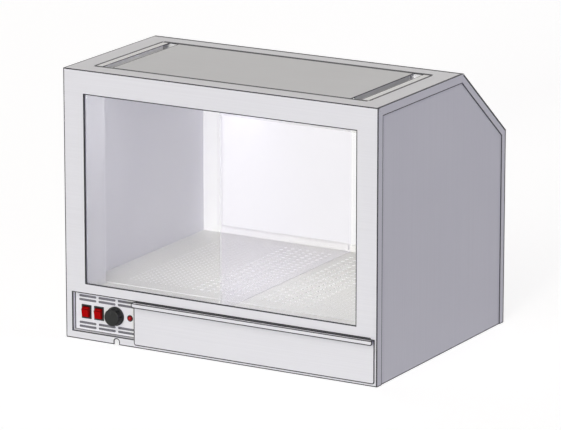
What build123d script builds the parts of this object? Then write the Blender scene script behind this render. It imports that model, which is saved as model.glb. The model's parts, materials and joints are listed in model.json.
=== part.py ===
"""Heated popcorn display case for a counter: folded stainless shell, glass front, clear divider,
perforated floor, kernel drawer, control bay with fan heater, and a clear serving flap at the back.

Millimetres. X runs to the right, Y from the front to the back, Z up. While it is built, Y counts from the
front face of the case. Every piece is then shifted so that the origin lies under the middle of the object.
"""
import os
from math import atan2, cos, floor, hypot, pi, sin, tan

from build123d import *

# Shell
case_width = 800.0
case_depth = 600.0
case_height = 622.0
top_depth = 391.0  # flat top, from the front face to the start of the rear slope
rear_height = 452.0  # upright rear wall, below the slope
sheet = 1.5  # thickness of all folded sheet
bend_radius = 1.2  # outside radius of the folded edges
side_lap = 21.0  # width of the border that the shell folds round the sides
post_width = 54.0  # frame beside, and behind, the windows
header_height = 56.0  # frame above the front window
sill_height = 132.0  # lower edge of the front and rear windows
foot_flange = 20.0  # bottom edge of each side panel, folded inwards to stand on

# Base
base_top = 19.0  # upper face of the base plate, level with the lower edge of the cut-out
cutout_margin = 18.4  # from the sides of the case to the cut-out
cutout_top = 107.3
notch_offset = 134.0  # from the left side to the middle of the cable notch
notch_width = 12.0
notch_height = 13.0
bay_width = 180.0  # from the left side to the bay partition
partition_foot = 15.0
outlet_length = 36.0
outlet_pitch = 48.0
outlet_count = 5

# Chamber floor
floor_level = 114.0
ledge_depth = 92.0  # from the front face to the front edge of the floor trays
ledge_lap = 20.0  # how far the trays lie on the ledge
rail_width = 16.0
beam_width = 30.0
beam_height = 12.0
kernel_hole = 7.0
kernel_pitch = 19.6
kernel_columns = 7
kernel_offset = 28.7  # from the middle of the case to the nearest row of large holes
air_hole = 3.6
air_pitch = 13.3
air_columns = 12
air_offset = 168.0  # from the middle of the case to the nearest row of fine holes
holes_front = 139.0  # from the front face to the first row
holes_rear = 46.0  # least distance from the last row to the back
chute_fall = 10.0
chute_overhang = 9.0

# Panes, columns and divider
glass = 5.0
glass_lap = 12.0  # how far the panes reach behind the frame
seal = 1.5
column_depth = 84.0
column_flange = 26.0
divider = 5.0
divider_setback = 1.5  # behind the glass retainer
channel_height = 15.0
rear_pane = 4.0
pane_rail = 10.0

# Top
opening_margin = 53.0  # from the front and sides of the case to the top opening
opening_rear = 339.0  # from the front face to the back edge of the top opening
flange_drop = 32.0  # folded-down edges of the top opening
vent_strip = 19.0
vent_slot = 24.0
edge_drop = 20.0  # folded-down edges of the strips and of the top plate
fold_relief = 28.0  # rear end of each strip where its inner fold is cut away
plate_seat = 14.0
batten_width = 40.0
batten_margin = 24.0  # from the edges of the top plate to the ends of the lamp batten
holder_setback = 11.5  # from the ends of the batten to the lamp holders
tube_radius = 8.0
tube_offset = 12.0  # from the batten to the middle of the tube
holder_width = 10.0

# Control panel
panel_setback = 11.0  # from the front face of the case to the face of the control panel
slot_length = 44.5
slot_height = 5.0
slot_pitch = 51.1
slot_row_pitch = 9.0
slot_inner_row = 26.6  # from the middle line of the panel to the nearer slot rows
slot_offset = 51.5  # from the left side to the middle of the first slot column
switch_offsets = (48.7, 81.7)  # from the left side to each switch
bezel_width = 25.0
bezel_height = 32.0
bezel_thickness = 2.0
switch_body_width = 21.5
switch_body_height = 29.0
switch_body_depth = 21.0
rocker_width = 17.5
rocker_height = 24.0
rocker_face_top = 9.0  # from the pivot up to the bevel of the upper end
rocker_face_bottom = 9.5  # from the pivot down to the bevel of the lower end
rocker_stand = 7.0  # flat face before the bezel, in the middle position
rocker_play = 0.3
rocker_tilt = 10.0  # degrees, to each side of the middle
rocker_pin_radius = 1.5
knob_offset = 125.7
knob_skirt_radius = 22.0
knob_radius = 19.2
knob_height = 20.0
knob_gap = 0.8
spindle_radius = 3.0
thermostat_size = 34.0
thermostat_depth = 28.0
thermostat_boss = 3.5
probe_radius = 3.0
probe_length = 80.0
capillary_radius = 1.0
pilot_offset = 163.5
pilot_radius = 7.5
pilot_lens_radius = 5.3
pilot_depth = 24.0

# Fan heater
bulkhead_setback = 250.0  # from the front face to the fan bulkhead
fan_size = 60.0
fan_depth = 25.0
fan_bore = 28.5
fan_hub = 13.0
fan_blades = 7
fan_shaft_radius = 1.5
fan_screw_radius = 2.0
fan_screw_spacing = 50.0
heater_radius = 4.0
heater_length = 200.0
heater_spread = 38.0  # from the fan's middle to each leg of the heater

# Mains entry
gland_setback = 60.0
gland_radius = 9.0
gland_thread_radius = 6.0
gland_bore_radius = 4.0
terminal_length = 60.0
terminal_width = 20.0
terminal_height = 18.0
terminal_poles = 5

# Drawer
drawer_bottom = 6.0  # lower edge of the drawer front
drawer_right_margin = 6.0
drawer_gap = 0.5  # between the drawer front and the front panel
drawer_corner = 5.5
lip_reach = 13.4  # how far the folded lip stands out from the front face of the case
lip_drop = 11.4
tray_depth = 520.0
tray_height = 60.0
tray_lift = 5.0  # from the base plate to the tray's underside
tray_side_gap = 4.0
runner_width = 25.0
runner_guide = 18.0
runner_front = 20.0
runner_length = 540.0

# Serving flap
flap_sheet = 5.0
flap_setback = 36.0  # from the upper edge of the slope to the flap
flap_lap = 20.0  # how far the flap covers the frame below the hatch
flap_side_lap = 24.0
hinge_setback = 30.0  # from the upper edge of the slope to the hinge axis
hinge_height = 4.5  # hinge axis above the slope
hinge_offset = 250.0  # from the middle of the case to each hinge
knuckle_length = 12.0
knuckle_radius = 3.5
hinge_pin_radius = 1.5
leaf_thickness = 1.5
leaf_length = 24.0
pull_width = 240.0
pull_height = 17.0
pull_foot = 20.0

# Clearances
touch_gap = 0.3  # between pieces that are only laid against each other
running_gap = 0.05  # radial, between a pin and its bore
hole_gap = 0.25  # round a piece that is put through a sheet

# Places that follow from the sizes above
half_width = case_width / 2
inner_half = half_width - 2 * sheet
window_half = half_width - post_width
window_top = case_height - header_height
slope_angle = atan2(case_height - rear_height, case_depth - top_depth)
slope_length = hypot(case_height - rear_height, case_depth - top_depth)
origin_y = (case_depth - lip_reach) / 2
partition_x = -half_width + bay_width
control_line = (base_top + cutout_top) / 2
panel_back = panel_setback + sheet
ledge_top = floor_level - sheet
ledge_back = ledge_depth + ledge_lap
inside_back = case_depth - sheet
glass_back = sheet + seal + glass
retainer_back = glass_back + sheet
divider_front = retainer_back + divider_setback
divider_half = divider / 2
opening_half = half_width - opening_margin
ceiling = case_height - flange_drop
plate_half = opening_half - vent_strip - vent_slot
chute_high = ledge_top - sheet - touch_gap
chute_left = -inner_half + sheet + touch_gap
chute_right = partition_x + sheet + chute_overhang
tray_top = base_top + tray_lift + tray_height
slope = Plane((0, top_depth, case_height), x_dir=(1, 0, 0), z_dir=(0, sin(slope_angle), cos(slope_angle)))


def block(x0, x1, y0, y1, z0, z1):
    """Block between two corners."""
    middle = Pos((x0 + x1) / 2, (y0 + y1) / 2, (z0 + z1) / 2)
    return middle * Box(x1 - x0, y1 - y0, z1 - z0)


def rod_x(radius, x0, x1, y, z):
    """Round bar along X."""
    return Pos((x0 + x1) / 2, y, z) * Rot(0, 90, 0) * Cylinder(radius, x1 - x0)


def rod_y(radius, x, y0, y1, z):
    """Round bar along Y."""
    return Pos(x, (y0 + y1) / 2, z) * Rot(90, 0, 0) * Cylinder(radius, y1 - y0)


def rod_z(radius, x, y, z0, z1):
    """Upright round bar."""
    return Pos(x, y, (z0 + z1) / 2) * Cylinder(radius, z1 - z0)


def along_x(outline, x0, x1):
    """Prism along X over a (y, z) outline."""
    face = make_face(Polyline(*[(x0, y, z) for y, z in outline], close=True))
    return extrude(face, amount=x1 - x0, dir=(1, 0, 0))


def along_y(outline, y0, y1):
    """Prism along Y over an (x, z) outline."""
    face = make_face(Polyline(*[(x, y0, z) for x, z in outline], close=True))
    return extrude(face, amount=y1 - y0, dir=(0, 1, 0))


def both_sides(shape):
    """The piece and its mirror image across the middle of the case."""
    return shape + mirror(shape, about=Plane.YZ)


def slot_y(x, z, y0, y1):
    """Cutter for a vent slot with round ends through an upright sheet."""
    radius = slot_height / 2
    reach = slot_length / 2 - radius
    bar = block(x - reach, x + reach, y0, y1, z - radius, z + radius)
    return bar + rod_y(radius, x - reach, y0, y1, z) + rod_y(radius, x + reach, y0, y1, z)


def profile(inset):
    """Side outline of the case, drawn in by a distance, from the front foot round to the rear foot."""
    return [
        (inset, 0),
        (inset, case_height - inset),
        (top_depth - inset * tan(slope_angle / 2), case_height - inset),
        (case_depth - inset, rear_height - inset * tan((pi / 2 - slope_angle) / 2)),
        (case_depth - inset, 0),
    ]


def border_strip(first, last):
    """Both side borders along a stretch of the outline, mitred at the corners."""
    outer = profile(0)[first:last + 1]
    inner = profile(side_lap)[first:last + 1]
    return both_sides(along_x(outer + inner[::-1], half_width - sheet, half_width))


def round_folds(shape, first, last):
    """Rounds the folded edges on both side faces along a stretch of the outline."""
    outline = profile(0)
    picked = ShapeList()
    for edge in shape.edges():
        middle = edge.center()
        if abs(abs(middle.X) - half_width) > sheet / 10:
            continue
        for (y0, z0), (y1, z1) in zip(outline[first:last], outline[first + 1:last + 1]):
            away = (middle.Y - y0) * (z1 - z0) - (middle.Z - z0) * (y1 - y0)
            if abs(away) / hypot(y1 - y0, z1 - z0) < sheet / 10:
                picked.append(edge)
    return fillet(picked, bend_radius)


outer_profile = profile(0)
sheet_profile = profile(sheet)
parts = {}

# Front panel: window, long cut-out of the base, cable notch and the front stretch of the side borders
front = block(-half_width, half_width, 0, sheet, 0, case_height) + border_strip(0, 1)
front -= block(-window_half, window_half, -sheet, 2 * sheet, sill_height, window_top)
cutout_half = half_width - cutout_margin
front -= block(-cutout_half, cutout_half, -sheet, 2 * sheet, base_top, cutout_top)
notch_x = -half_width + notch_offset
notch_arc = notch_height - notch_width / 2
front -= block(notch_x - notch_width / 2, notch_x + notch_width / 2, -sheet, 2 * sheet, -sheet, notch_arc)
front -= rod_y(notch_width / 2, notch_x, -sheet, 2 * sheet, notch_arc)
parts["front_panel"] = round_folds(front, 0, 1)

# Top panel: opening with folded-down edges and the upper stretch of the side borders
opening_side = block(
    opening_half, opening_half + sheet, opening_margin - sheet, opening_rear + sheet, ceiling, case_height
)
opening_front = block(
    -opening_half, opening_half, opening_margin - sheet, opening_margin, ceiling, case_height - sheet
)
opening_back = block(
    -opening_half, opening_half, opening_rear, opening_rear + sheet, ceiling, case_height - sheet
)
top_wall = [(sheet, case_height), outer_profile[2], sheet_profile[2], (sheet, case_height - sheet)]
top = along_x(top_wall, -half_width, half_width) + border_strip(1, 2)
top -= block(-half_width, half_width, -sheet, sheet, 0, case_height + sheet)
top -= block(
    -opening_half, opening_half, opening_margin, opening_rear, case_height - 2 * sheet, case_height + sheet
)
top += both_sides(opening_side) + opening_front + opening_back
parts["top_panel"] = round_folds(top, 1, 2)

# Rear panel: slope and upright back in one folded sheet, each with its window
rear_wall = outer_profile[2:5] + sheet_profile[2:5][::-1]
rear = along_x(rear_wall, -half_width, half_width) + border_strip(2, 4)
rear -= block(
    -window_half,
    window_half,
    inside_back - sheet,
    case_depth + sheet,
    sill_height,
    rear_height - post_width,
)
rear -= slope * block(
    -window_half, window_half, post_width, slope_length - post_width, -2 * sheet, sheet
)
parts["rear_panel"] = round_folds(rear, 2, 4)

# Side panels: set back behind the border, bottom edge folded inwards to stand on
right_side = along_x(sheet_profile, inner_half, inner_half + sheet)
right_side += block(inner_half - foot_flange, inner_half, sheet, inside_back, 0, sheet)
parts["right_side_panel"] = right_side
parts["left_side_panel"] = mirror(right_side, about=Plane.YZ)

# Base plate: carries the control bay and the drawer, on legs that stand on the side panels' flanges
base = block(-inner_half, inner_half, sheet, inside_back, base_top - sheet, base_top)
base += both_sides(block(inner_half - sheet, inner_half, sheet, inside_back, sheet, base_top))
base -= rod_z(gland_thread_radius + hole_gap, notch_x, gland_setback, 0, 2 * base_top)
parts["base_plate"] = base


def chute_underside(x):
    """Height of the chute's lower face."""
    return chute_high - sheet - chute_fall * (x - chute_left) / (chute_right - chute_left)


# Bay partition: parts the control bay from the drawer, with warm air outlets above the drawer's wall
partition_top = chute_underside(partition_x + sheet)
partition_back = inside_back - sheet - touch_gap
partition = block(partition_x, partition_x + sheet, sheet, partition_back, base_top, partition_top)
partition += block(
    partition_x - partition_foot,
    partition_x,
    bulkhead_setback + sheet,
    partition_back,
    base_top,
    base_top + sheet,
)
outlet_height = (partition_top - tray_top) / 2
outlet_z = (partition_top + tray_top) / 2
outlet_first = (bulkhead_setback + partition_back) / 2 - outlet_pitch * (outlet_count - 1) / 2
for outlet in range(outlet_count):
    outlet_y = outlet_first + outlet * outlet_pitch
    partition -= block(
        partition_x - sheet,
        partition_x + 2 * sheet,
        outlet_y - outlet_length / 2,
        outlet_y + outlet_length / 2,
        outlet_z - outlet_height / 2,
        outlet_z + outlet_height / 2,
    )
parts["bay_partition"] = partition

# Kernel chute: sloped cover of the control bay that leads crumbs to the drawer
chute_outline = [
    (chute_left, chute_high),
    (chute_right, chute_high - chute_fall),
    (chute_right, chute_high - chute_fall - sheet),
    (chute_left, chute_high - sheet),
]
parts["kernel_chute"] = along_y(chute_outline, ledge_back + touch_gap, partition_back)

# Front ledge: plain front strip of the chamber floor, with an upstand behind the glass
ledge = block(-inner_half, inner_half, sheet, ledge_back, ledge_top - sheet, ledge_top)
ledge += block(
    -window_half + touch_gap,
    window_half - touch_gap,
    glass_back,
    retainer_back,
    ledge_top,
    sill_height - 2 * sheet,
)
ledge += block(
    -inner_half, inner_half, ledge_back - sheet, ledge_back, ledge_top - beam_height, ledge_top - sheet
)
parts["front_ledge"] = ledge

# Floor rails on the sides and the back, and the beam under the divider
rail_front = ledge_back + touch_gap
side_rail = block(
    inner_half - rail_width, inner_half, rail_front, inside_back, ledge_top - sheet, ledge_top
)
side_rail += block(
    inner_half - sheet, inner_half, rail_front, inside_back, ledge_top - rail_width, ledge_top
)
rear_rail_half = inner_half - rail_width - touch_gap
rear_rail_front = inside_back - rail_width
rear_rail = block(
    -rear_rail_half, rear_rail_half, rear_rail_front, inside_back, ledge_top - sheet, ledge_top
)
rear_rail += block(
    -rear_rail_half, rear_rail_half, inside_back - sheet, inside_back, ledge_top - rail_width, ledge_top
)
parts["floor_rails"] = both_sides(side_rail) + rear_rail
beam = block(-beam_width / 2, beam_width / 2, ledge_back, rear_rail_front, ledge_top - sheet, ledge_top)
beam_leg = block(
    beam_width / 2 - sheet, beam_width / 2, ledge_back, rear_rail_front, ledge_top - beam_height, ledge_top
)
parts["floor_beam"] = beam + both_sides(beam_leg)


def hole_rows(pitch):
    """Distances from the front face to the rows of holes in a floor tray."""
    count = floor((case_depth - holes_rear - holes_front) / pitch) + 1
    return [holes_front + row * pitch for row in range(count)]


def hole_grid(diameter, pitch, columns, offset, hand):
    """Rims of one field of holes, on the left (-1) or right (1) of the middle."""
    rims = []
    for column in range(columns):
        for y in hole_rows(pitch):
            centre = (hand * (offset + column * pitch), y, floor_level)
            rims.append(Wire.make_circle(diameter / 2, Plane(centre)))
    return rims


def floor_tray(hand):
    """Perforated tray on one side of the divider: large holes for kernels, fine ones for warm air."""
    near = hand * (divider_half + touch_gap)
    far = hand * (inner_half - touch_gap)
    back = inside_back - sheet
    corners = [(near, ledge_depth), (far, ledge_depth), (far, back), (near, back)]
    rim = Wire.make_polygon([(x, y, floor_level) for x, y in corners], close=True)
    holes = hole_grid(kernel_hole, kernel_pitch, kernel_columns, kernel_offset, hand)
    holes += hole_grid(air_hole, air_pitch, air_columns, air_offset, hand)
    return Solid.extrude(Face(rim, holes), Vector(0, 0, -sheet))


parts["left_floor_tray"] = floor_tray(-1)
parts["right_floor_tray"] = floor_tray(1)

# Front glass on its rubber seal, held by a retainer at the top and by the columns at the sides
pane_half = window_half + glass_lap
pane_top = window_top + glass_lap
pane_bottom = ledge_top + touch_gap
parts["front_glass"] = block(-pane_half, pane_half, sheet + seal, glass_back, pane_bottom, pane_top)
parts["window_seal"] = block(-pane_half, pane_half, sheet, sheet + seal, pane_bottom, pane_top) - block(
    -window_half, window_half, 0, 2 * sheet + seal, sill_height, window_top
)
retainer_half = window_half - touch_gap
retainer = block(
    -retainer_half, retainer_half, glass_back, retainer_back, window_top, pane_top + touch_gap + sheet
)
retainer += block(
    -retainer_half, retainer_half, sheet, retainer_back, pane_top + touch_gap, pane_top + touch_gap + sheet
)
parts["glass_retainer"] = retainer

# Box columns behind the front posts, with a flange that holds the edge of the glass
column_top = ceiling - sheet
column = block(window_half, window_half + sheet, glass_back, column_depth, ledge_top, column_top)
column += block(window_half, window_half + column_flange, glass_back, retainer_back, ledge_top, column_top)
column += block(window_half, inner_half, column_depth - sheet, column_depth, ledge_top, column_top)
column += block(
    inner_half - sheet, inner_half, column_depth - column_flange, column_depth, ledge_top, column_top
)
parts["right_column"] = column
parts["left_column"] = mirror(column, about=Plane.YZ)

# Clear divider, standing on the ledge and the beam between the trays, its top in a channel
divider_inset = 2 * sheet + touch_gap
divider_top = ceiling - sheet - touch_gap
divider_back = inside_back - sheet
divider_profile = profile(divider_inset)
divider_shoulder = divider_profile[2][0] + (divider_profile[2][1] - divider_top) / tan(slope_angle)
divider_drop = divider_profile[3][1] + (divider_profile[3][0] - divider_back) * tan(slope_angle)
divider_outline = [
    (divider_front, ledge_top),
    (divider_front, divider_top),
    (divider_shoulder, divider_top),
    (divider_back, divider_drop),
    (divider_back, ledge_top),
]
parts["divider_pane"] = along_x(divider_outline, -divider_half, divider_half)
channel_inner = divider_half + touch_gap
channel_half = channel_inner + sheet
channel = block(
    -channel_half, channel_half, divider_front + sheet, top_depth, ceiling - channel_height, ceiling
)
channel -= block(
    -channel_inner, channel_inner, 0, case_depth, ceiling - 2 * channel_height, ceiling - sheet
)
parts["ceiling_channel"] = channel

# Edge strips of the top opening, outside the two warm air slots
strip_x = opening_half - vent_strip
strip_front = opening_margin + touch_gap
strip_back = opening_rear - touch_gap
strip = block(strip_x, opening_half, strip_front, strip_back, case_height - edge_drop, case_height)
strip -= block(
    strip_x + sheet, opening_half - sheet, 0, case_depth, case_height - 2 * edge_drop, case_height - sheet
)
strip -= block(
    strip_x - sheet, strip_x + sheet, strip_back - fold_relief, case_depth, 0, case_height - sheet
)
parts["right_vent_strip"] = strip
parts["left_vent_strip"] = mirror(strip, about=Plane.YZ)

# Top plate between the slots, laid on two angle rails
plate_under = case_height - sheet
plate = block(-plate_half, plate_half, strip_front, strip_back, plate_under, case_height)
plate += both_sides(
    block(
        plate_half - sheet,
        plate_half,
        strip_front + plate_seat + sheet,
        strip_back - plate_seat - sheet,
        case_height - edge_drop,
        plate_under,
    )
)
parts["top_plate"] = plate
rail_half = plate_half - sheet
front_seat = block(
    -rail_half, rail_half, opening_margin, opening_margin + plate_seat, plate_under - sheet, plate_under
)
front_seat += block(
    -rail_half, rail_half, opening_margin, opening_margin + sheet, case_height - edge_drop, plate_under
)
rear_seat = block(
    -rail_half, rail_half, opening_rear - plate_seat, opening_rear, plate_under - sheet, plate_under
)
rear_seat += block(
    -rail_half, rail_half, opening_rear - sheet, opening_rear, case_height - edge_drop, plate_under
)
parts["plate_rails"] = front_seat + rear_seat

# Lamp: a folded batten under the top plate, two holders and a fluorescent tube in front of it
opening_middle = (opening_margin + opening_rear) / 2
batten_front = opening_middle - batten_width / 2
batten_back = opening_middle + batten_width / 2
batten_half = plate_half - batten_margin
batten = block(-batten_half, batten_half, batten_front, batten_back, ceiling, plate_under)
batten -= block(
    -batten_half + sheet,
    batten_half - sheet,
    batten_front + sheet,
    batten_back - sheet,
    ceiling + sheet,
    case_height,
)
parts["lamp_batten"] = batten
tube_half = batten_half - holder_setback - holder_width
tube_y = batten_front - tube_offset
tube_z = (ceiling + plate_under) / 2
holder = block(
    tube_half,
    tube_half + holder_width,
    tube_y - tube_radius,
    batten_front,
    tube_z - tube_radius,
    tube_z + tube_radius,
)
parts["lamp_holders"] = both_sides(holder)
cap_length = 2 * tube_radius
glass_tube_radius = tube_radius - touch_gap
tube = rod_x(glass_tube_radius, -tube_half + cap_length, tube_half - cap_length, tube_y, tube_z)
tube += both_sides(rod_x(tube_radius, tube_half - cap_length, tube_half, tube_y, tube_z))
parts["lamp_tube"] = tube

# Control panel: a shallow pan set back in the cut-out, with vent slots and holes for the controls
panel_left = -half_width + cutout_margin
panel = block(panel_left - sheet, partition_x, panel_setback, panel_back, base_top, cutout_top + sheet)
panel += block(panel_left - sheet, panel_left, sheet, panel_setback, base_top, cutout_top + sheet)
panel += block(panel_left - sheet, partition_x, sheet, panel_setback, cutout_top, cutout_top + sheet)
for column_index in range(3):
    slot_x = -half_width + slot_offset + column_index * slot_pitch
    for row_offset in (slot_inner_row, slot_inner_row + slot_row_pitch):
        for row_z in (control_line - row_offset, control_line + row_offset):
            panel -= slot_y(slot_x, row_z, panel_setback - sheet, panel_back + sheet)
switch_places = [-half_width + offset for offset in switch_offsets]
for switch_x in switch_places:
    hole_half_width = switch_body_width / 2 + hole_gap
    hole_half_height = switch_body_height / 2 + hole_gap
    panel -= block(
        switch_x - hole_half_width,
        switch_x + hole_half_width,
        panel_setback - sheet,
        panel_back + sheet,
        control_line - hole_half_height,
        control_line + hole_half_height,
    )
knob_x = -half_width + knob_offset
pilot_x = -half_width + pilot_offset
pilot_shank_radius = pilot_radius - sheet
panel -= rod_y(spindle_radius + 2 * sheet, knob_x, panel_setback - sheet, panel_back + sheet, control_line)
panel -= rod_y(
    pilot_shank_radius + hole_gap, pilot_x, panel_setback - sheet, panel_back + sheet, control_line
)
parts["control_panel"] = panel

# Rocker switches: bezel and housing in one, and a rocker that tilts on two stub pins
bezel_front = panel_setback - bezel_thickness
rocker_half_width = rocker_width / 2
rocker_half_height = rocker_height / 2
rocker_rise = rocker_half_height * sin(rocker_tilt * pi / 180)
rocker_pivot = bezel_front + 2 * rocker_rise
rocker_body = 1.5 * rocker_rise
pin_reach = rocker_half_width + (switch_body_width / 2 - rocker_half_width) / 2
well_half_width = rocker_half_width + rocker_play
well_half_height = rocker_half_height + 4 * rocker_play


def switch_housing(x):
    """Bezel, housing with the rocker's well, and three flat terminals."""
    body = block(
        x - bezel_width / 2,
        x + bezel_width / 2,
        bezel_front,
        panel_setback,
        control_line - bezel_height / 2,
        control_line + bezel_height / 2,
    )
    body += block(
        x - switch_body_width / 2,
        x + switch_body_width / 2,
        panel_setback,
        panel_setback + switch_body_depth,
        control_line - switch_body_height / 2,
        control_line + switch_body_height / 2,
    )
    body -= block(
        x - well_half_width,
        x + well_half_width,
        bezel_front - sheet,
        rocker_pivot + rocker_rise + rocker_body,
        control_line - well_half_height,
        control_line + well_half_height,
    )
    pin_bore = rocker_pin_radius + running_gap
    body -= rod_x(
        pin_bore, x - pin_reach - touch_gap, x + pin_reach + touch_gap, rocker_pivot, control_line
    )
    terminal_pitch = switch_body_height / 3
    for step in (-1, 0, 1):
        terminal_z = control_line + step * terminal_pitch
        body += block(
            x - 2 * sheet,
            x + 2 * sheet,
            panel_setback + switch_body_depth,
            panel_setback + switch_body_depth + 4 * sheet,
            terminal_z - sheet / 4,
            terminal_z + sheet / 4,
        )
    return body


def rocker(x):
    """Rocker with a flat face and bevelled ends, stored with its upper end out."""
    face_y = -2 * rocker_rise - rocker_stand
    outline = [
        (face_y, rocker_face_top),
        (face_y, -rocker_face_bottom),
        (-rocker_rise, -rocker_half_height),
        (rocker_body, -rocker_half_height / 2),
        (rocker_body, rocker_half_height / 2),
        (-rocker_rise, rocker_half_height),
    ]
    shape = along_x(outline, -rocker_half_width, rocker_half_width)
    shape += rod_x(rocker_pin_radius, -pin_reach, pin_reach, 0, 0)
    return Pos(x, rocker_pivot, control_line) * Rot(rocker_tilt, 0, 0) * shape


for side, switch_x in zip(("left", "right"), switch_places):
    parts[side + "_switch_body"] = switch_housing(switch_x)
    parts[side + "_rocker"] = rocker(switch_x)

# Thermostat: body with a boss behind the panel, spindle, knob, and a probe in the warm part of the bay
body_front = panel_back + thermostat_boss
body_back = body_front + thermostat_depth
thermostat_half = thermostat_size / 2
thermostat = block(
    knob_x - thermostat_half,
    knob_x + thermostat_half,
    body_front,
    body_back,
    control_line - thermostat_half,
    control_line + thermostat_half,
)
thermostat += rod_y(2.5 * spindle_radius, knob_x, panel_back, body_front, control_line)
spindle_back = body_front + thermostat_depth / 3
thermostat -= rod_y(spindle_radius + running_gap, knob_x, 0, spindle_back, control_line)
parts["thermostat_body"] = thermostat
knob_back = panel_setback - knob_gap
knob_front = panel_setback - knob_height
spindle_front = (knob_front + knob_back) / 2
parts["thermostat_spindle"] = rod_y(
    spindle_radius, knob_x, spindle_front, spindle_back - touch_gap, control_line
)
knob_shoulder = knob_back - knob_height / 5
knob_outline = [
    (0, knob_back),
    (knob_skirt_radius, knob_back),
    (knob_skirt_radius, knob_shoulder),
    (knob_skirt_radius - sheet, knob_shoulder - sheet / 2),
    (knob_radius, knob_front + sheet),
    (knob_radius - sheet, knob_front),
    (0, knob_front),
]
knob_face = make_face(Polyline(*[(radius, y, 0) for radius, y in knob_outline], close=True))
knob = Pos(knob_x, 0, control_line) * revolve(knob_face, Axis.Y)
knob -= rod_y(spindle_radius + running_gap, knob_x, spindle_front - touch_gap, panel_setback, control_line)
knob -= block(
    knob_x - sheet / 2,
    knob_x + sheet / 2,
    knob_front - sheet,
    knob_front + sheet / 2,
    control_line + knob_radius / 3,
    control_line + knob_radius,
)
parts["knob"] = knob

# Fan heater behind the controls: bulkhead, axial fan, tubular element
bay_middle = (-inner_half + partition_x) / 2
fan_z = (base_top + partition_top) / 2
bulkhead_back = bulkhead_setback + sheet
bulkhead_outline = [
    (-inner_half, base_top),
    (partition_x, base_top),
    (partition_x, chute_underside(partition_x) - touch_gap),
    (chute_left, chute_underside(chute_left) - touch_gap),
    (-inner_half + sheet + touch_gap, ledge_top - rail_width - touch_gap),
    (-inner_half, ledge_top - rail_width - touch_gap),
]
probe_z = (control_line + thermostat_half + partition_top) / 2
bulkhead = along_y(bulkhead_outline, bulkhead_setback, bulkhead_back)
bulkhead -= rod_y(fan_bore, bay_middle, bulkhead_setback - sheet, bulkhead_back + sheet, fan_z)
bulkhead -= rod_y(
    capillary_radius + hole_gap, knob_x, bulkhead_setback - sheet, bulkhead_back + sheet, probe_z
)
fan_screw_places = []
for step_x in (-1, 1):
    for step_z in (-1, 1):
        place = (bay_middle + step_x * fan_screw_spacing / 2, fan_z + step_z * fan_screw_spacing / 2)
        fan_screw_places.append(place)
    heater_x = bay_middle + step_x * heater_spread
    bulkhead -= rod_y(
        heater_radius + hole_gap, heater_x, bulkhead_setback - sheet, bulkhead_back + sheet, fan_z
    )
fan_front = bulkhead_setback - fan_depth
fan_half = fan_size / 2
motor_front = bulkhead_setback - fan_depth / 3
fan = block(
    bay_middle - fan_half,
    bay_middle + fan_half,
    fan_front,
    bulkhead_setback,
    fan_z - fan_half,
    fan_z + fan_half,
)
fan -= rod_y(fan_bore, bay_middle, fan_front - sheet, bulkhead_setback + sheet, fan_z)
strut = block(
    -fan_bore - sheet / 2,
    fan_bore + sheet / 2,
    bulkhead_setback - 2 * sheet,
    bulkhead_setback,
    -sheet,
    sheet,
)
for turn in (45, 135):
    fan += Pos(bay_middle, 0, fan_z) * Rot(0, turn, 0) * strut
fan += rod_y(fan_hub, bay_middle, motor_front, bulkhead_setback, fan_z)
fan -= rod_y(
    fan_shaft_radius + running_gap, bay_middle, motor_front - sheet, bulkhead_setback - sheet, fan_z
)
screws = Part()
for screw_x, screw_z in fan_screw_places:
    clear_hole = rod_y(
        fan_screw_radius + hole_gap, screw_x, fan_front - sheet, bulkhead_back + sheet, screw_z
    )
    fan -= clear_hole
    bulkhead -= clear_hole
    screws += rod_y(fan_screw_radius, screw_x, fan_front, bulkhead_back + sheet, screw_z)
    screws += rod_y(2 * fan_screw_radius, screw_x, fan_front - 1.5 * sheet, fan_front, screw_z)
parts["fan_bulkhead"] = bulkhead
parts["fan_frame"] = fan
parts["fan_screws"] = screws
impeller_back = motor_front - touch_gap
impeller_front = fan_front + sheet
impeller_middle = (impeller_front + impeller_back) / 2
blade_root = fan_hub - sheet
blade_reach = fan_bore - sheet - blade_root
blade = Pos(blade_root + blade_reach / 2, 0, 0) * Rot(40, 0, 0) * Box(blade_reach, sheet, 0.8 * fan_hub)
impeller = rod_y(fan_hub, 0, impeller_front, impeller_back, 0)
impeller += rod_y(fan_shaft_radius, 0, impeller_back, bulkhead_setback - sheet - touch_gap, 0)
for step in range(fan_blades):
    impeller += Rot(0, 360 * step / fan_blades, 0) * Pos(0, impeller_middle, 0) * blade
parts["fan_impeller"] = Pos(bay_middle, 0, fan_z) * impeller

heater_start = bulkhead_setback - 6 * sheet
heater_bend = bulkhead_back + heater_length
heater_left = bay_middle - heater_spread
heater_right = bay_middle + heater_spread
heater_path = Line((heater_left, heater_start, fan_z), (heater_left, heater_bend, fan_z))
heater_path += ThreePointArc(
    (heater_left, heater_bend, fan_z),
    (bay_middle, heater_bend + heater_spread, fan_z),
    (heater_right, heater_bend, fan_z),
)
heater_path += Line((heater_right, heater_bend, fan_z), (heater_right, heater_start, fan_z))
heater_section = Plane((heater_left, heater_start, fan_z), z_dir=(0, 1, 0)) * Circle(heater_radius)
heater = sweep(heater_section, path=heater_path)
for step_x in (-1, 1):
    heater += rod_y(
        2 * heater_radius,
        bay_middle + step_x * heater_spread,
        bulkhead_back,
        bulkhead_back + 2 * sheet,
        fan_z,
    )
parts["heater_element"] = heater

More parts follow.
